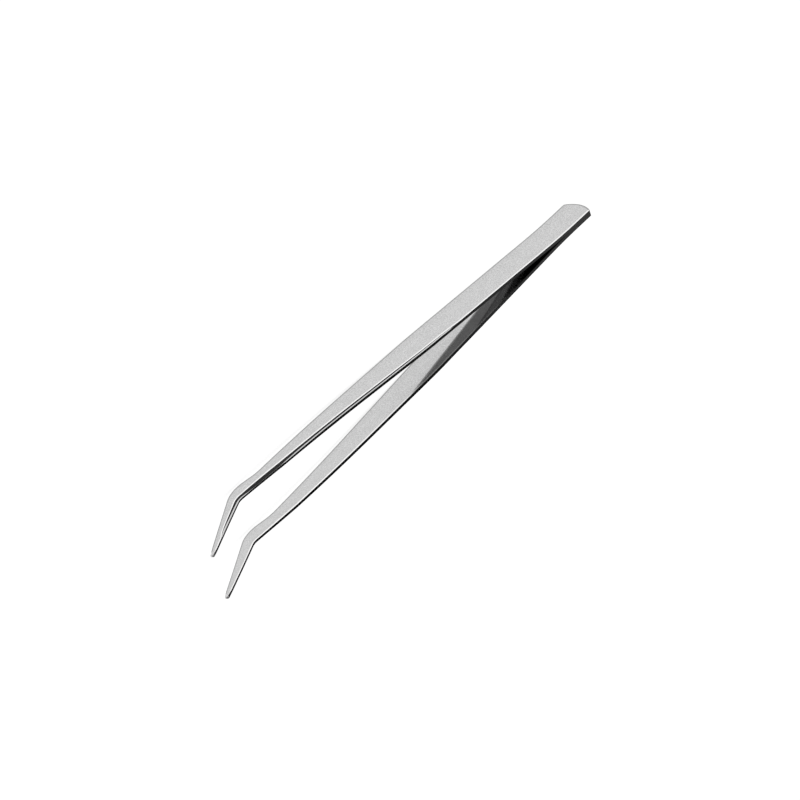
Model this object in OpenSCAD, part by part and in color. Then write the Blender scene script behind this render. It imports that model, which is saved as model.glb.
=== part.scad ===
// Bent-nose tweezers: two mirrored spring-steel arms, spot-welded face to face at the tail.
// X runs from the tail to the tips, Y is the way the jaws open, Z is the width of the strips.
// The tweezers lie on the long lower edges of both arms, with the bent nose turned up.

/* [Overall] */
// Length from the tail to the tips
overall_length = 165; // [160:1:175]
// Width of each strip from the tail to where its taper starts
strip_w = 9; // [8.5:0.25:10]
// Thickness of the sheet that each arm is cut from
sheet_t = 0.85; // [0.7:0.05:1]

/* [Arm outline] */
// Distance from the tail to the start of the taper
taper_start = 69; // [50:1:90]
// Distance from the tail to the end of the lower edge's taper
low_neck_x = 132.5; // [125:0.5:134]
// Rise of the lower edge over its taper
low_neck_rise = 2.2; // [1.2:0.1:2.6]
// Distance from the tail to the end of the upper edge's taper
high_neck_x = 126.5; // [120:0.5:132]
// Drop of the upper edge over its taper
high_neck_drop = 2.4; // [1.6:0.1:2.8]
// Distance from the tail to the middle of the elbow
elbow_x = 142.1; // [140:0.1:144]
// Drop of the strip's centre line at the elbow
elbow_drop = 1.55; // [1.2:0.05:1.8]
// Height of the strip at the elbow
elbow_w = 4.8; // [4.4:0.1:5]
// Lead of the elbow's upper corner over its lower corner
elbow_lean = 2; // [0:0.1:3]
// Radius under the elbow, on the outside of the bend
elbow_outer_r = 12; // [6:1:14]
// Radius over the elbow, on the inside of the bend
elbow_inner_r = 5; // [2:0.5:8]
// Angle that the nose is bent up by, along its lower edge
nose_angle = 28.4; // [22:0.1:32]
// Width of each tip
tip_w = 1.1; // [1:0.05:1.6]
// Radius of the rounded tail end
tail_r = 8; // [6:0.5:20]
// Radius of the tail's two corners
tail_corner_r = 0.7; // [0.3:0.1:1.5]

/* [Arm bow] */
// Length over which the two arms lie against each other
weld_len = 6.6; // [6:0.1:8]
// Angle at which each arm leaves the middle plane
flare_angle = 3.34; // [2.8:0.02:3.4]
// Radius of the bend that turns each arm outwards
flare_r = 216; // [150:2:260]
// Distance from the tail to the start of the inward bow
bow_start = 97; // [90:0.5:100]
// Radius of the inward bow
bow_r = 850; // [840:10:1000]

/* [Ground nose] */
// Thickness that the nose is ground down to
nose_t = 0.7; // [0.5:0.05:0.7]
// Distance from the tail to where the grinding starts
grind_start = 130; // [110:1:140]
// Length over which the strip thins
grind_len = 18; // [5:1:20]

/* [Flexure and welds] */
// Distance from the tail to the line that each arm bends about
flex_x = 30; // [25:1:40]
// Diameter of a weld nugget
nugget_d = 2.4; // [1.5:0.1:2.6]
// Depth of a weld nugget in each sheet
nugget_depth = 0.25; // [0.1:0.05:0.3]
// Distance from the tail to the weld nuggets
nugget_x = 3.8; // [3:0.1:4.2]
// Distance between the centres of the two weld nuggets
nugget_pitch = 3.6; // [3:0.1:4]

/* [Hidden] */

NUGGET_FN = 48;
TAIL_STEPS = 40;
FILLET_STEPS = 10;
FLARE_STEPS = 10;
BOW_STEPS = 36;
SPAN = 40;          // half-size of the blocks that trim the arms
END_PAST_TIP = 0.5; // degrees that the bow runs on beyond the tip, before it is trimmed

steel = [0.76, 0.77, 0.78];
weld_grey = [0.55, 0.56, 0.58];

flare_end = [weld_len + flare_r * sin(flare_angle), flare_r * (1 - cos(flare_angle))];
straight_len = (bow_start - flare_end[0]) / cos(flare_angle);
bow_at = flare_end + straight_len * [cos(flare_angle), sin(flare_angle)];
bow_centre = bow_at + bow_r * [sin(flare_angle), -cos(flare_angle)];
bow_turn = asin((overall_length - bow_centre[0]) / bow_r) + flare_angle + END_PAST_TIP;

mid_z = strip_w / 2;
elbow_mid_z = mid_z - elbow_drop;
elbow_low = [elbow_x - elbow_lean / 2, elbow_mid_z - elbow_w / 2];
elbow_high = [elbow_x + elbow_lean / 2, elbow_mid_z + elbow_w / 2];
low_neck = [low_neck_x, low_neck_rise];
high_neck = [high_neck_x, strip_w - high_neck_drop];

// The tip's lower corner stands past the end by as much as its rounding takes off
tip_r = tip_w * 0.4;
tip_x = overall_length + tip_r * (cos(nose_angle) + sin(nose_angle) - 1);
tip_low = [tip_x, elbow_low[1] + (tip_x - elbow_low[0]) * tan(nose_angle)];
tip_high = tip_low + tip_w * [-sin(nose_angle), cos(nose_angle)];

// The tail's corners are round, and run smoothly into its end and its long edges
corner_reach = mid_z - tail_corner_r;
corner_turn = asin(corner_reach / (tail_r - tail_corner_r));
corner_x = tail_r - (tail_r - tail_corner_r) * cos(corner_turn);

// Points of an arc that starts at one angle and sweeps through another
function arc(centre, r, from, sweep, steps) =
    [for (i = [0:steps])
        centre + r * [cos(from + sweep * i / steps), sin(from + sweep * i / steps)]];

// Points of a round corner at b, between the points a and c
function corner(a, b, c, r) =
    let (u = (a - b) / norm(a - b),
         v = (c - b) / norm(c - b),
         half = acos(u * v) / 2,
         centre = b + (u + v) / norm(u + v) * r / sin(half),
         start = b + u * r / tan(half) - centre,
         end = b + v * r / tan(half) - centre,
         from = atan2(start[1], start[0]),
         sweep = (atan2(end[1], end[0]) - from + 540) % 360 - 180)
    arc(centre, r, from, sweep, FILLET_STEPS);

// Points of the strip's outline, length along X and width along Y
function outline_points() =
    concat(arc([corner_x, tail_corner_r], tail_corner_r, 180 + corner_turn, 90 - corner_turn,
               FILLET_STEPS),
           [[taper_start, 0], low_neck],
           corner(low_neck, elbow_low, tip_low, elbow_outer_r),
           corner(elbow_low, tip_low, tip_high, tip_r),
           corner(tip_low, tip_high, elbow_high, tip_r),
           corner(tip_high, elbow_high, high_neck, elbow_inner_r),
           [high_neck, [taper_start, strip_w]],
           arc([corner_x, strip_w - tail_corner_r], tail_corner_r, 90, 90 - corner_turn,
               FILLET_STEPS),
           [for (i = [1:TAIL_STEPS - 1])
               let (turn = corner_turn * (1 - 2 * i / TAIL_STEPS))
               [tail_r - tail_r * cos(turn), mid_z + tail_r * sin(turn)]]);

// Flat outline of an arm: the strip with its rounded tail, its elbow and its tip
module outline() {
    polygon(outline_points());
}

// Thickness of the strip at a distance from the tail
function thickness(x) =
    sheet_t - (sheet_t - nose_t) * min(1, max(0, (x - grind_start) / grind_len));

// Points of one side of the bowed strip: 0 for its inner surface, 1 for its outer one
function bow_side(outer) =
    concat([[0, outer * sheet_t]],
           [for (i = [0:FLARE_STEPS])
               let (turn = flare_angle * i / FLARE_STEPS)
               [weld_len, flare_r] + (flare_r - outer * sheet_t) * [sin(turn), -cos(turn)]],
           [for (i = [0:BOW_STEPS])
               let (turn = flare_angle - bow_turn * i / BOW_STEPS,
                    x = bow_centre[0] - bow_r * sin(turn))
               bow_centre + (bow_r + outer * thickness(x)) * [-sin(turn), cos(turn)]]);

// Edge-on shape of an arm: flat tail, bend outwards, straight blade and inward bow
module bowed_strip() {
    outer = bow_side(1);
    polygon(concat(bow_side(0), [for (i = [len(outer) - 1:-1:0]) outer[i]]));
}

// The left arm as one strip, before it is parted at the flexure
module whole_arm() {
    intersection() {
        translate([0, 0, -1]) linear_extrude(height = SPAN) bowed_strip();
        rotate([90, 0, 0])
            translate([0, 0, -SPAN])
                linear_extrude(height = 2 * SPAN) outline();
    }
}

// The arm's stretch between two distances from the tail
module arm_between(from, to) {
    intersection() {
        whole_arm();
        translate([from, -SPAN, -SPAN]) cube([to - from, 2 * SPAN, 2 * SPAN]);
    }
}

// One weld nugget, a disc with a tapered rim, half of it in each sheet
module nugget() {
    r = nugget_d / 2;
    rotate([90, 0, 0])
        rotate_extrude($fn = NUGGET_FN)
            polygon([[0, -nugget_depth], [r - nugget_depth, -nugget_depth], [r, 0],
                     [r - nugget_depth, nugget_depth], [0, nugget_depth]]);
}

module nuggets() {
    for (side = [-1, 1])
        translate([nugget_x, 0, mid_z + side * nugget_pitch / 2])
            nugget();
}

// Moves the model from tail-at-zero to the middle of its length
module centred() {
    translate([-overall_length / 2, 0, 0]) children();
}

module arm_root() {
    difference() {
        arm_between(-1, flex_x);
        nuggets();
    }
}

module arm_blade() {
    arm_between(flex_x, overall_length + 1);
}

module left_arm_root() {
    color(steel) centred() arm_root();
}

module left_arm() {
    color(steel) centred() arm_blade();
}

module right_arm_root() {
    color(steel) centred() mirror([0, 1, 0]) arm_root();
}

module right_arm() {
    color(steel) centred() mirror([0, 1, 0]) arm_blade();
}

module spot_welds() {
    color(weld_grey) centred() nuggets();
}

left_arm_root();
left_arm();
right_arm_root();
right_arm();
spot_welds();
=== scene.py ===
"""Bent-nose tweezers: two polished steel arms on a pale floor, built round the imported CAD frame."""

import math

import bpy
from mathutils import Matrix, Vector


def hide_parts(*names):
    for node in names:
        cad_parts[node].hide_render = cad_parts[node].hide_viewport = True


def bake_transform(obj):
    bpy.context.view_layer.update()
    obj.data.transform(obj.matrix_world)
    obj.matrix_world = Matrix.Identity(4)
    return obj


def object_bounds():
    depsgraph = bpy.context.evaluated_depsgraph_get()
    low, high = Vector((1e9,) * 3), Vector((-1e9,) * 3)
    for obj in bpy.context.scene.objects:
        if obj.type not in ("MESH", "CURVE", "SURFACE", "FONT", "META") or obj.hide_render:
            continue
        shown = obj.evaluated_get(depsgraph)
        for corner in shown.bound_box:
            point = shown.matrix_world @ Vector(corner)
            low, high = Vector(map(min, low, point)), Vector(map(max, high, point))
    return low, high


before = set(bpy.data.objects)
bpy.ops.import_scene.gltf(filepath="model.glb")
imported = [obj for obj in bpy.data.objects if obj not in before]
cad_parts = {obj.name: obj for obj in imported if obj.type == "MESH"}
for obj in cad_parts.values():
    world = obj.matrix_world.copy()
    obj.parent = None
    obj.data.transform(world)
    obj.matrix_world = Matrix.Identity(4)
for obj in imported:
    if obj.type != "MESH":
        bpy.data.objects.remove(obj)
cad_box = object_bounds()

MM = 0.001

# The arm's outline and bow, in millimetres from the tail, as in the CAD arms
LENGTH = 165.0
STRIP_W = 9.0
SHEET_T = 0.85
TAPER_START = 69.0
LOW_NECK_X, LOW_NECK_RISE = 132.5, 2.2
HIGH_NECK_X, HIGH_NECK_DROP = 126.5, 2.4
ELBOW_X = 142.1
ELBOW_DROP = 1.55
ELBOW_W = 4.8
ELBOW_LEAN = 2.0
ELBOW_OUTER_R = 12.0
ELBOW_INNER_R = 5.0
NOSE_ANGLE = math.radians(28.4)
TIP_W = 1.1
TIP_R = TIP_W * 0.4
TAIL_R = 8.0
TAIL_CORNER_R = 0.7
WELD_LEN = 6.6
FLARE_ANGLE = math.radians(3.34)
FLARE_R = 216.0
BOW_START = 97.0
BOW_R = 850.0
NOSE_T = 0.7
GRIND_START, GRIND_LEN = 130.0, 18.0

# Soft corners of the outline, too slight for the CAD, and how far the tip's end bulges
TAPER_R = 150.0
NECK_R = 18.0
TIP_DOME = 0.01

# How many steps draw each curve of the outline, and each straight stretch before a bend
TAIL_STEPS, TAIL_CORNER_STEPS = 14, 8
TAPER_STEPS, NECK_STEPS, ELBOW_STEPS, TIP_STEPS = 8, 8, 20, 10
STRAIGHT_STEPS = (70, 50, 10, 26)

# Edge finish, in millimetres. Tables give their values at distances from the tail: the first one
# is the radius of the inner edge, which is rounder at the tip.
EDGE_R = [(162.0, 0.05), (164.2, 0.24)]
CREASE_R = 0.02
EDGE_STEPS = 4

# Rim along the upper outer edge: (distance from the tail, width, tilt in degrees, groove width,
# rise). A groove parts the rim from the face, and its steel is painted near black as shade in the
# crease. A rise of 1 gains back most of the groove's depth at the rim. At the neck the groove
# widens until it takes up almost the whole rim.
RIM = [(57.0, 0.07, 45.0, 0.02, 0.0), (64.0, 0.66, 2.0, 0.14, 1.0), (80.0, 0.90, 2.0, 0.46, 1.0),
       (98.0, 1.04, 2.0, 0.62, 1.0), (110.0, 1.08, 4.0, 0.66, 0.9), (120.0, 1.15, 12.0, 0.78, 0.6),
       (128.0, 1.20, 28.5, 1.00, 0.2), (132.0, 1.20, 28.5, 1.05, 0.0), (138.0, 1.15, 28.5, 1.00, 0.0),
       (143.0, 1.02, 18.0, 0.68, 0.4), (147.0, 0.94, 8.0, 0.52, 0.8), (152.0, 0.80, 4.0, 0.34, 1.0),
       (156.0, 0.60, 4.0, 0.08, 1.0), (158.0, 0.07, 45.0, 0.02, 0.0)]

# The lower edge is only broken by a small chamfer, and both edges of the tip are rounded over
LOWER_RIM = [(57.0, 0.07, 45.0, 0.02, 0.0)]
TIP_RIM = [(162.0, 0.07, 45.0, 0.02, 0.0), (164.2, 0.27, 42.0, 0.02, 0.0)]

# Slope of the groove's floor, and the share of its depth that a rise of 1 gains back
GROOVE_TILT = math.radians(12.0)
GROOVE_REGAIN = 0.85

# The groove's outer wall is this wide, or this share of the rim's width where that is less
LIP_W, LIP_SHARE = 0.05, 1 / 6

# Width of the bright line beside each upper edge, which is partly wear and partly a painted
# highlight: (distance from the tail, width)
BAND_WIDTH = [(138.0, 0.40), (148.0, 0.24), (162.0, 0.24), (164.2, 0.05)]

# The line starts at the tail's upper corner, and at the tip it runs round to the lower edge
BRIGHT_LINE_FROM, TIP_FROM = 1.3, 164.0

# Where extra rows lie across each part of an edge, as shares of its width. Rows close to a crease
# keep the smooth shading flat right up to it.
BAND_ROWS = (0.12, 1.0)
SIDE_ROWS = (0.1, 0.5, 0.9)
FACET_ROWS = (0.1, 0.5, 0.95)
GROOVE_ROWS = (0.15, 0.85)

# How deep the rim is ground on each arm: it is done by hand, and the two are not alike
RIM_DEPTH = {"left": 0.35, "right": 1.0}

# Texture coordinates count centimetres along and across the strip. The inner face lies further
# across, so that its grain differs from the outer one's.
UV_PER_MM = 0.1
INNER_LIFT = 40.0

# Height of the grain on all the steel, in metres
GRAIN_HEIGHT = 0.000002

# Floor, light and camera, in metres, degrees and watts
FLOOR_HALF = 3.0
FLOOR_GAP = 0.00005
FLOOR_GLOW = 0.84
GLOW_FADE = (0.3, 1.0)
ROOM_GREY = 0.12
SOFTBOX_HEIGHT, SOFTBOX_SIZE, SOFTBOX_POWER = 0.9, 0.6, 1.3
CAMERA_ANGLES = (-43.09, 39.75, 102.53)
CAMERA_DISTANCE, FRAME_WIDTH, SENSOR_WIDTH = 2.5, 0.2050, 36.0
CAMERA_SHIFT = (0.00268, -0.00370)

# Middle of the strip's width, and where the tail lies in the frame, in millimetres
MID_Z = STRIP_W / 2
TAIL_AT = cad_box[0].x / MM


def between(table, x):
    """The values of a table of (x, values...) rows at x, joined by straight lines."""
    for a, b in zip(table, table[1:]):
        if x < b[0]:
            f = max(0.0, (x - a[0]) / (b[0] - a[0]))
            return [p + (q - p) * f for p, q in zip(a[1:], b[1:])]
    return list(table[-1][1:])


# ---- the arm's shape ----

def strip_y(x, off):
    """How far the surface at a distance off from the inner one lies from the middle plane."""
    sin_a, cos_a = math.sin(FLARE_ANGLE), math.cos(FLARE_ANGLE)
    if x <= WELD_LEN:
        return off
    flare_end = WELD_LEN + FLARE_R * sin_a
    if x <= flare_end - off * sin_a:
        return FLARE_R - math.sqrt((FLARE_R - off) ** 2 - (x - WELD_LEN) ** 2)
    rise = FLARE_R * (1 - cos_a)
    if x <= BOW_START - off * sin_a:
        return rise + (x - flare_end) * sin_a / cos_a + off / cos_a
    bow_at = rise + (BOW_START - flare_end) * sin_a / cos_a
    centre = Vector((BOW_START + BOW_R * sin_a, bow_at - BOW_R * cos_a))
    return centre.y + math.sqrt((BOW_R + off) ** 2 - (x - centre.x) ** 2)


def arc(centre, r, start, end, steps):
    """Points of an arc from one angle to another, both ends included."""
    return [centre + r * Vector((math.cos(t), math.sin(t)))
            for t in (start + (end - start) * i / steps for i in range(steps + 1))]


def corner(a, b, c, r, steps):
    """Points of a round corner of radius r at b, between the points a and c."""
    u, v = (a - b).normalized(), (c - b).normalized()
    half = math.acos(max(-1.0, min(1.0, u.dot(v)))) / 2
    centre = b + (u + v).normalized() * (r / math.sin(half))
    first, last = b + u * (r / math.tan(half)) - centre, b + v * (r / math.tan(half)) - centre
    start = math.atan2(first.y, first.x)
    sweep = (math.atan2(last.y, last.x) - start + 3 * math.pi) % (2 * math.pi) - math.pi
    return arc(centre, r, start, start + sweep, steps)


def line(a, b, steps):
    """Points strictly between a and b."""
    return [a.lerp(b, i / steps) for i in range(1, steps)]


def half_outline(side):
    """One long edge of the strip in plan, from the tail's middle to the tip's middle.
    side is -1 for the lower edge and 1 for the upper one."""
    edge = MID_Z + side * MID_Z
    reach = MID_Z - TAIL_CORNER_R
    corner_at = Vector((TAIL_R - math.sqrt((TAIL_R - TAIL_CORNER_R) ** 2 - reach ** 2),
                        MID_Z + side * reach))
    tail_centre = Vector((TAIL_R, MID_Z))
    lean = math.asin(reach / (TAIL_R - TAIL_CORNER_R))
    points = arc(tail_centre, TAIL_R, math.pi, math.pi - side * lean, TAIL_STEPS)[:-1]
    points += arc(corner_at, TAIL_CORNER_R, math.pi - side * lean, math.pi - side * math.pi / 2,
                  TAIL_CORNER_STEPS)

    elbow_mid = MID_Z - ELBOW_DROP
    low_elbow = Vector((ELBOW_X - ELBOW_LEAN / 2, elbow_mid - ELBOW_W / 2))
    high_elbow = Vector((ELBOW_X + ELBOW_LEAN / 2, elbow_mid + ELBOW_W / 2))
    nose = Vector((math.cos(NOSE_ANGLE), math.sin(NOSE_ANGLE)))
    tip_x = LENGTH + TIP_R * (nose.x + nose.y - 1)
    low_tip = low_elbow + nose * ((tip_x - low_elbow.x) / nose.x)
    high_tip = low_tip + TIP_W * Vector((-nose.y, nose.x))
    taper = Vector((TAPER_START, edge))
    if side < 0:
        neck = Vector((LOW_NECK_X, LOW_NECK_RISE))
        elbow, elbow_r, tip, far_tip = low_elbow, ELBOW_OUTER_R, low_tip, high_tip
    else:
        neck = Vector((HIGH_NECK_X, STRIP_W - HIGH_NECK_DROP))
        elbow, elbow_r, tip, far_tip = high_elbow, ELBOW_INNER_R, high_tip, low_tip

    bends = [corner(points[-1], taper, neck, TAPER_R, TAPER_STEPS),
             corner(taper, neck, elbow, NECK_R, NECK_STEPS),
             corner(neck, elbow, tip, elbow_r, ELBOW_STEPS),
             corner(elbow, tip, far_tip, TIP_R, TIP_STEPS)]
    for bend, steps in zip(bends, STRAIGHT_STEPS):
        points += line(points[-1], bend[0], steps) + bend

    # The end bulges as a parabola does, with three quarters of its height halfway out
    end = (tip + far_tip) / 2
    halfway = points[-1].lerp(end, 0.5)
    return points + [halfway + nose * TIP_DOME * 0.75, end + nose * TIP_DOME]


def thickness(x):
    """Thickness of the strip, which is ground thinner towards the nose."""
    return SHEET_T - (SHEET_T - NOSE_T) * min(1.0, max(0.0, (x - GRIND_START) / GRIND_LEN))


def edge_rings(x, which, rim_depth):
    """The strip's upper or lower edge in section at x, from the inner face round to the outer one.
    Each row is (point, part): the point is (distance in from the edge, height above the inner
    face), and the part is what lies between it and the next point."""
    thick = thickness(x)
    band_w, = between(BAND_WIDTH, x)
    edge_r, = between(EDGE_R, x)
    width, tilt, groove_w, rise = between((RIM if which == "upper" else LOWER_RIM) + TIP_RIM, x)
    lip_w = min(LIP_W, width * LIP_SHARE)
    bottom_drop = rim_depth * groove_w * math.tan(GROOVE_TILT)
    lip_drop = bottom_drop * (1 - GROOVE_REGAIN * rise)
    low_drop = lip_drop + rim_depth * (width - groove_w - lip_w) * math.tan(math.radians(tilt))
    low = Vector((0.0, thick - low_drop))
    lip = Vector((width - groove_w - lip_w, thick - lip_drop))
    bottom = Vector((width - groove_w, thick - bottom_drop))
    high = Vector((width, thick))
    edge = Vector((0.0, 0.0))
    inner_face, outer_face = Vector((1.0, 0.0)), Vector((width + 1.0, thick))

    inner = corner(inner_face, edge, low, edge_r, EDGE_STEPS)
    shoulder = corner(edge, low, lip, CREASE_R, EDGE_STEPS)
    brow = corner(bottom, high, outer_face, CREASE_R, EDGE_STEPS)
    rows = [(Vector((inner[0].x + f * band_w, 0.0)), "wear_and_highlight") for f in reversed(BAND_ROWS)]
    rows += [(p, "side") for p in inner]
    rows += [(inner[-1].lerp(shoulder[0], f), "side") for f in SIDE_ROWS]
    rows += [(p, "facet") for p in shoulder]
    rows += [(shoulder[-1].lerp(lip, f), "facet") for f in FACET_ROWS]
    rows += [(lip, "groove"), (lip.lerp(bottom, 0.5), "groove"), (bottom, "groove")]
    rows += [(bottom.lerp(brow[0], f), "groove") for f in GROOVE_ROWS]
    rows += [(p, "wear_and_highlight") for p in brow]
    rows += [(Vector((brow[-1].x + f * band_w, thick)), "wear_and_highlight") for f in BAND_ROWS]
    return rows


# The parts of an arm that differ in finish or in painted shade and highlight, in the order of its
# materials
SLOTS = ["face", "inner", "wear_and_highlight", "darkening", "facet", "groove", "side", "tip"]

# Away from the bright line the edge band takes a darker steel, and the chamfer and groove take the
# side's painted shade. The tip's end is ground, where the strip's long sides are left as sheared.
DARKER_SLOTS = {"wear_and_highlight": "darkening", "facet": "side", "groove": "side"}
TIP_SLOTS = {"side": "tip", "facet": "tip", "groove": "tip"}


def arm_mesh(name, side, rim_depth):
    """One whole arm as a closed mesh. side is 1 for the left arm and -1 for the right one."""
    low, high = half_outline(-1), half_outline(1)
    loop = low + high[-2:0:-1]
    count, stations = len(loop), len(low)
    normals = []
    for j in range(count):
        edge = (loop[(j + 1) % count] - loop[j - 1]).normalized()
        normals.append(Vector((-edge.y, edge.x)))
    middles = [(a + b) / 2 for a, b in zip(low, high)]
    headings = [(middles[min(i + 1, stations - 1)] - middles[max(i - 1, 0)]).normalized()
                for i in range(stations)]
    reach = [0.0]
    for a, b in zip(middles, middles[1:]):
        reach.append(reach[-1] + (b - a).length)

    verts, coords, parts = [], [], []
    for j, (p, n) in enumerate(zip(loop, normals)):
        rows = edge_rings(p.x, "upper" if j >= stations - 1 else "lower", rim_depth)
        parts = [part for _, part in rows]
        station = j if j < stations else count - j
        for row, _ in rows:
            at = p + n * row.x
            verts.append((at.x, strip_y(at.x, row.y), at.y))
            along = reach[station] + row.x * n.dot(headings[station])
            wrap = (SHEET_T - row.y) * (-1 if j < stations else 1)
            coords.append((along, at.y - MID_Z + wrap))
    rings = len(parts)

    faces, slots, uvs = [], [], []

    def add(corners, slot, lift=0.0):
        """One face, whose texture lies further across by lift."""
        faces.append(corners if side > 0 else corners[::-1])
        slots.append(SLOTS.index(slot))
        uvs.extend((coords[v][0], coords[v][1] + lift) for v in faces[-1])

    for j in range(count):
        k = (j + 1) % count
        upper = j >= stations - 1
        x = min(loop[j].x, loop[k].x)
        if x > TIP_FROM:
            swaps = TIP_SLOTS
        elif upper and x > BRIGHT_LINE_FROM:
            swaps = {}
        else:
            swaps = DARKER_SLOTS
        for r in range(rings - 1):
            slot = swaps.get(parts[r], parts[r])
            add([j * rings + r, j * rings + r + 1, k * rings + r + 1, k * rings + r], slot)
    # The flat faces run across from the lower edge to the upper one, and end in triangles
    for i in range(stations - 1):
        ring = []
        for j in (i, i + 1, (count - i - 1) % count, (count - i) % count):
            if j not in ring:
                ring.append(j)
        add([j * rings + rings - 1 for j in ring][::-1], "face")
        add([j * rings for j in ring], "inner", INNER_LIFT)

    mesh = bpy.data.meshes.new(name)
    mesh.from_pydata([(MM * (x + TAIL_AT), MM * side * y, MM * z) for x, y, z in verts], [], faces)
    mesh.polygons.foreach_set("material_index", slots)
    layer = mesh.uv_layers.new(name="strip")
    layer.data.foreach_set("uv", [v * UV_PER_MM for uv in uvs for v in uv])
    mesh.polygons.foreach_set("use_smooth", [True] * len(faces))
    mesh.update()
    mesh.validate()
    piece = bpy.data.objects.new(name, mesh)
    bpy.context.scene.collection.objects.link(piece)
    return piece


# ---- materials ----

def nodes_of(name):
    """A new node material, its tree and its surface shader."""
    material = bpy.data.materials.new(name)
    material.use_nodes = True
    tree = material.node_tree
    return material, tree, tree.nodes["Principled BSDF"]


def steel(name, light, dark, roughness, spread, grain, coordinates="UV", darkening=None):
    """Worked steel: a grain along the strip, cloudy patches, fine scratches and a speckle.
    light and dark are its tones. Its roughness rises by up to spread with the grain, and by as
    much again in the scratches, and grain is how strongly its bump shows.
    The last argument is (start, end, factor): between those distances from the tail, in millimetres,
    it darkens the colour to factor as painted shade, and it stays dark on the far side of end."""
    material, tree, shader = nodes_of(name)
    shader.inputs["Metallic"].default_value = 1.0
    make, join = tree.nodes.new, tree.links.new

    place = make("ShaderNodeTexCoord")

    def noise(along, across, detail):
        """Noise with so many features along and across, per centimetre on the strips."""
        mapping = make("ShaderNodeMapping")
        mapping.inputs["Scale"].default_value = (along, across, 1.0)
        join(place.outputs[coordinates], mapping.inputs["Vector"])
        tex = make("ShaderNodeTexNoise")
        tex.inputs["Scale"].default_value = 1.0
        tex.inputs["Detail"].default_value = detail
        join(mapping.outputs["Vector"], tex.inputs["Vector"])
        return tex.outputs["Fac"]

    def ramp(source, low, high, from_low=0.35, from_high=0.65):
        """Stretches source, between from_low and from_high, over the range from low to high."""
        node = make("ShaderNodeMapRange")
        node.inputs["From Min"].default_value = from_low
        node.inputs["From Max"].default_value = from_high
        node.inputs["To Min"].default_value = low
        node.inputs["To Max"].default_value = high
        join(source, node.inputs["Value"])
        return node.outputs["Result"]

    def combine(operation, a, b):
        """The sum or product of two values."""
        node = make("ShaderNodeMath")
        node.operation = operation
        join(a, node.inputs[0])
        join(b, node.inputs[1])
        return node.outputs["Value"]

    lines = noise(2.5, 70.0, 3.0)
    patches = noise(3.0, 5.0, 4.0)
    scratches = noise(1.2, 45.0, 1.0)
    speckle = noise(18.0, 34.0, 2.0)

    mix = make("ShaderNodeMix")
    mix.data_type = "RGBA"
    mix.inputs["A"].default_value = (dark, dark, dark, 1.0)
    mix.inputs["B"].default_value = (light, light, light, 1.0)
    tone = combine("MULTIPLY", ramp(patches, 0.75, 1.0), ramp(lines, 0.82, 1.0))
    tone = combine("MULTIPLY", tone, ramp(speckle, 0.2, 1.0))
    join(tone, mix.inputs["Factor"])
    colour = mix.outputs["Result"]
    # Painted shade: the colour darkens between two distances from the tail
    if darkening:
        start, end, factor = darkening
        split = make("ShaderNodeSeparateXYZ")
        join(place.outputs["UV"], split.inputs["Vector"])
        darken = make("ShaderNodeMix")
        darken.data_type = "RGBA"
        darken.blend_type = "MULTIPLY"
        darken.inputs["B"].default_value = (factor, factor, factor, 1.0)
        join(colour, darken.inputs["A"])
        join(ramp(split.outputs["X"], 0.0, 1.0, start * UV_PER_MM, end * UV_PER_MM),
             darken.inputs["Factor"])
        colour = darken.outputs["Result"]
    join(colour, shader.inputs["Base Color"])

    rough = combine("ADD", ramp(lines, roughness, roughness + spread),
                    ramp(scratches, 0.0, spread, 0.62, 0.75))
    join(rough, shader.inputs["Roughness"])

    bump = make("ShaderNodeBump")
    bump.inputs["Strength"].default_value = grain
    bump.inputs["Distance"].default_value = GRAIN_HEIGHT
    join(combine("ADD", lines, scratches), bump.inputs["Height"])
    join(bump.outputs["Normal"], shader.inputs["Normal"])
    return material


def floor_material():
    """Matt pale board with a faint grain. Its middle is lit from below, like a light table."""
    material, tree, shader = nodes_of("pale_board")
    make, join = tree.nodes.new, tree.links.new
    tex = make("ShaderNodeTexNoise")
    tex.inputs["Scale"].default_value = 220.0
    ramp = make("ShaderNodeMapRange")
    ramp.inputs["To Min"].default_value = 0.88
    ramp.inputs["To Max"].default_value = 0.92
    join(tex.outputs["Fac"], ramp.inputs["Value"])
    join(ramp.outputs["Result"], shader.inputs["Base Color"])
    shader.inputs["Roughness"].default_value = 0.9
    shader.inputs["Specular IOR Level"].default_value = 0.0
    place = make("ShaderNodeTexCoord")
    reach = make("ShaderNodeVectorMath")
    reach.operation = "LENGTH"
    join(place.outputs["Object"], reach.inputs[0])
    glow = make("ShaderNodeMapRange")
    glow.interpolation_type = "SMOOTHSTEP"
    glow.inputs["From Min"].default_value = GLOW_FADE[0]
    glow.inputs["From Max"].default_value = GLOW_FADE[1]
    glow.inputs["To Min"].default_value = FLOOR_GLOW
    glow.inputs["To Max"].default_value = 0.0
    join(reach.outputs["Value"], glow.inputs["Value"])
    join(glow.outputs["Result"], shader.inputs["Emission Strength"])
    shader.inputs["Emission Color"].default_value = (1.0, 1.0, 1.0, 1.0)
    return material


# ---- the object ----

# (start, end, factor), as steel() takes them. The sides are darker towards the tips, as painted
# shade. The right arm's inner face is darkened behind its middle as painted shade, which darkens
# what the left arm mirrors there: it stands in for the shade between the arms.
SIDE_PAINTED_SHADE = (15.0, 70.0, 0.12)
RIGHT_INNER_PAINTED_SHADE = (84.0, 76.0, 0.29)

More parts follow.
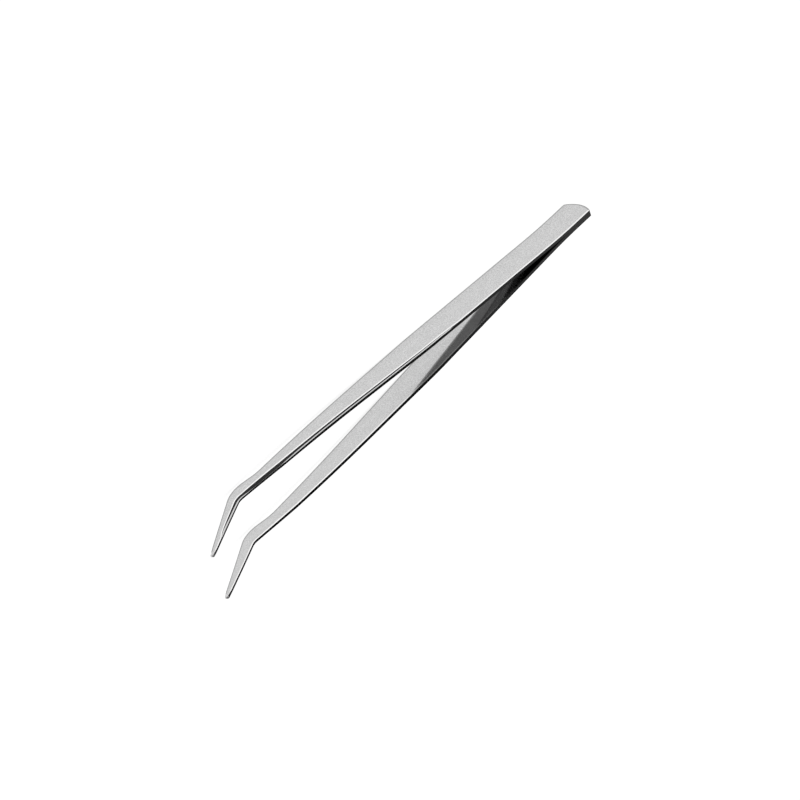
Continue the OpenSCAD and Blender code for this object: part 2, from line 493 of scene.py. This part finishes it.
steels = {
    "face": steel("polished_steel", 0.68, 0.42, 0.09, 0.04, 0.35),
    # The bright line beside the upper edges is partly wear and partly a painted highlight
    "wear_and_highlight": steel("worn_edge_painted_highlight", 0.98, 0.92, 0.10, 0.05, 0.3),
    "darkening": steel("dull_edge", 0.40, 0.30, 0.09, 0.04, 0.35),
    "facet": steel("ground_facet", 0.70, 0.50, 0.12, 0.06, 0.6),
    # The groove's steel is painted near black: painted shade in the crease
    "groove": steel("groove_painted_shade", 0.03, 0.015, 0.25, 0.06, 0.3),
    # The sides' steel is painted dark as shade, and darker still towards the tips
    "side": steel("sheared_edge_painted_shade", 0.40, 0.26, 0.10, 0.05, 0.2, darkening=SIDE_PAINTED_SHADE),
    "tip": steel("ground_tip", 0.80, 0.60, 0.45, 0.05, 0.6),
}
inner_steels = {
    "left": steel("left_inner_steel", 0.68, 0.42, 0.05, 0.02, 0.2),
    # The right arm's inner face is painted with shade behind its middle
    "right": steel("right_inner_steel_painted_shade", 0.68, 0.42, 0.05, 0.02, 0.2, darkening=RIGHT_INNER_PAINTED_SHADE),
}

# The CAD arm starts at its joint. Each arm is built as one whole strip from the tail, and the CAD
# arm's two parts are hidden.
for hand, side in (("left", 1), ("right", -1)):
    arm = arm_mesh(hand + "_arm_strip", side, RIM_DEPTH[hand])
    for slot in SLOTS:
        arm.data.materials.append(inner_steels[hand] if slot == "inner" else steels[slot])
    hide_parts(hand + "_arm_root", hand + "_arm")
    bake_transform(arm)

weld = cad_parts["spot_welds"]
weld.data.materials.clear()
weld.data.materials.append(steel("weld_metal", 0.5, 0.3, 0.4, 0.2, 1.0, "Object"))


# ---- floor, light and camera ----

def floor():
    """A square board just under the tweezers."""
    mesh = bpy.data.meshes.new("floor")
    corners = [(x * FLOOR_HALF, y * FLOOR_HALF, 0) for x, y in ((-1, -1), (1, -1), (1, 1), (-1, 1))]
    mesh.from_pydata(corners, [], [(0, 1, 2, 3)])
    board = bpy.data.objects.new("floor", mesh)
    board.location.z = cad_box[0].z - FLOOR_GAP
    mesh.materials.append(floor_material())
    bpy.context.scene.collection.objects.link(board)


def softbox(name, place, aim, size, power):
    """A square soft light at place, turned towards aim."""
    data = bpy.data.lights.new(name, "AREA")
    data.shape = "SQUARE"
    data.size = size
    data.energy = power
    lamp = bpy.data.objects.new(name, data)
    lamp.location = place
    lamp.rotation_mode = "QUATERNION"
    lamp.rotation_quaternion = (Vector(aim) - Vector(place)).to_track_quat("-Z", "Y")
    bpy.context.scene.collection.objects.link(lamp)


def studio():
    """One soft light overhead, in a dim grey room."""
    world = bpy.data.worlds.new("studio")
    world.use_nodes = True
    world.node_tree.nodes["Background"].inputs["Color"].default_value = (ROOM_GREY,) * 3 + (1.0,)
    bpy.context.scene.world = world
    softbox("overhead", (0.0, 0.0, SOFTBOX_HEIGHT), (0.0, 0.0, 0.0), SOFTBOX_SIZE, SOFTBOX_POWER)


def camera():
    """The camera looks down on the right arm from beyond the tips, turned on its side."""
    azimuth, elevation, roll = (math.radians(v) for v in CAMERA_ANGLES)
    back = Vector((math.cos(elevation) * math.cos(azimuth),
                   math.cos(elevation) * math.sin(azimuth), math.sin(elevation)))
    level = Vector((0.0, 0.0, 1.0)).cross(back).normalized()
    upright = back.cross(level)
    right = math.cos(roll) * level + math.sin(roll) * upright
    up = back.cross(right)
    centre = Vector((0.0, 0.0, MID_Z * MM)) + CAMERA_SHIFT[0] * right + CAMERA_SHIFT[1] * up
    data = bpy.data.cameras.new("camera")
    data.sensor_width = SENSOR_WIDTH
    data.lens = SENSOR_WIDTH * CAMERA_DISTANCE / FRAME_WIDTH
    data.clip_end = 20.0
    cam = bpy.data.objects.new("camera", data)
    cam.matrix_world = Matrix((right, up, back)).transposed().to_4x4()
    cam.location = centre + back * CAMERA_DISTANCE
    bpy.context.scene.collection.objects.link(cam)
    bpy.context.scene.camera = cam


floor()
studio()
camera()
bpy.context.scene.view_settings.view_transform = "Standard"
